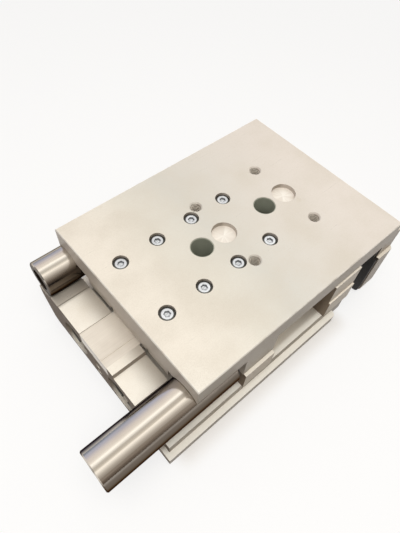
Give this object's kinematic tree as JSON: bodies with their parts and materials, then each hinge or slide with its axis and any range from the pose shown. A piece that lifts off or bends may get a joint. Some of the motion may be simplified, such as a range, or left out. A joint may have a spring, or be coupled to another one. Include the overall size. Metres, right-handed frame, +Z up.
{
  "type": "pneumatic mini slide",
  "caption": "Compact pneumatic slide: a flat table on a ball carriage, driven by twin pistons in an aluminium housing, with round stop sleeves along both sides.",
  "frame": {"origin": "on the housing's mounting face, under the middle of the housing", "axes": "+X the way the table extends, +Z up through the table, +Y to the side of the moving sleeve"},
  "size_m": [0.1763, 0.1044, 0.051],
  "materials": {
    "anodised_aluminium": "fine satin, warm natural anodised",
    "milled_aluminium": "milled, satin",
    "ground_steel": "ground along the travel",
    "chrome_sleeve": "polished",
    "screw_steel": "bright zinc",
    "ball_steel": "polished",
    "bronze_bush": "sintered, satin",
    "black_elastomer": "matt",
    "black_plastic": "matt moulded",
    "magnet": "dull"
  },
  "bodies": {
    "housing_group": {"housing": "anodised_aluminium", "side_wall": "anodised_aluminium", "front_corner_block": "anodised_aluminium", "rear_stop_block": "anodised_aluminium", "sleeve_saddle": "anodised_aluminium", "block_screws": "screw_steel", "guide_rail": "ground_steel", "rail_screws": "screw_steel", "bore_end_caps": "milled_aluminium", "end_cap_seals": "black_elastomer", "end_cap_rings": "screw_steel", "rod_bushes": "bronze_bush", "rod_seals": "black_elastomer", "rod_wipers": "black_elastomer", "gland_plate": "milled_aluminium", "gland_plate_screws": "screw_steel", "front_stop_sleeve": "chrome_sleeve", "front_stop_buffer": "black_elastomer", "front_sleeve_plug": "black_plastic", "front_sleeve_screws": "screw_steel"},
    "table_group": {"table_plate": "anodised_aluminium", "table_screws": "screw_steel", "carriage": "ground_steel", "carriage_cap_rear": "milled_aluminium", "carriage_cap_front": "milled_aluminium", "carriage_cap_screws": "screw_steel", "load_balls": "ball_steel", "yoke_plate": "anodised_aluminium", "yoke_screws": "screw_steel", "yoke_pad": "black_elastomer", "piston_rods": "chrome_sleeve", "rod_screws": "screw_steel", "pistons": "milled_aluminium", "piston_seals": "black_elastomer", "piston_magnets": "magnet", "rear_stop_sleeve": "chrome_sleeve", "rear_stop_buffer": "black_elastomer", "rear_sleeve_plug": "black_plastic", "rear_set_screws": "screw_steel"}
  },
  "joints": [
    {"name": "table_slide", "type": "slide", "parent": "housing_group", "child": "table_group", "axis": [1, 0, 0], "range_m": [-0.0033, 0.0365]}
  ]
}
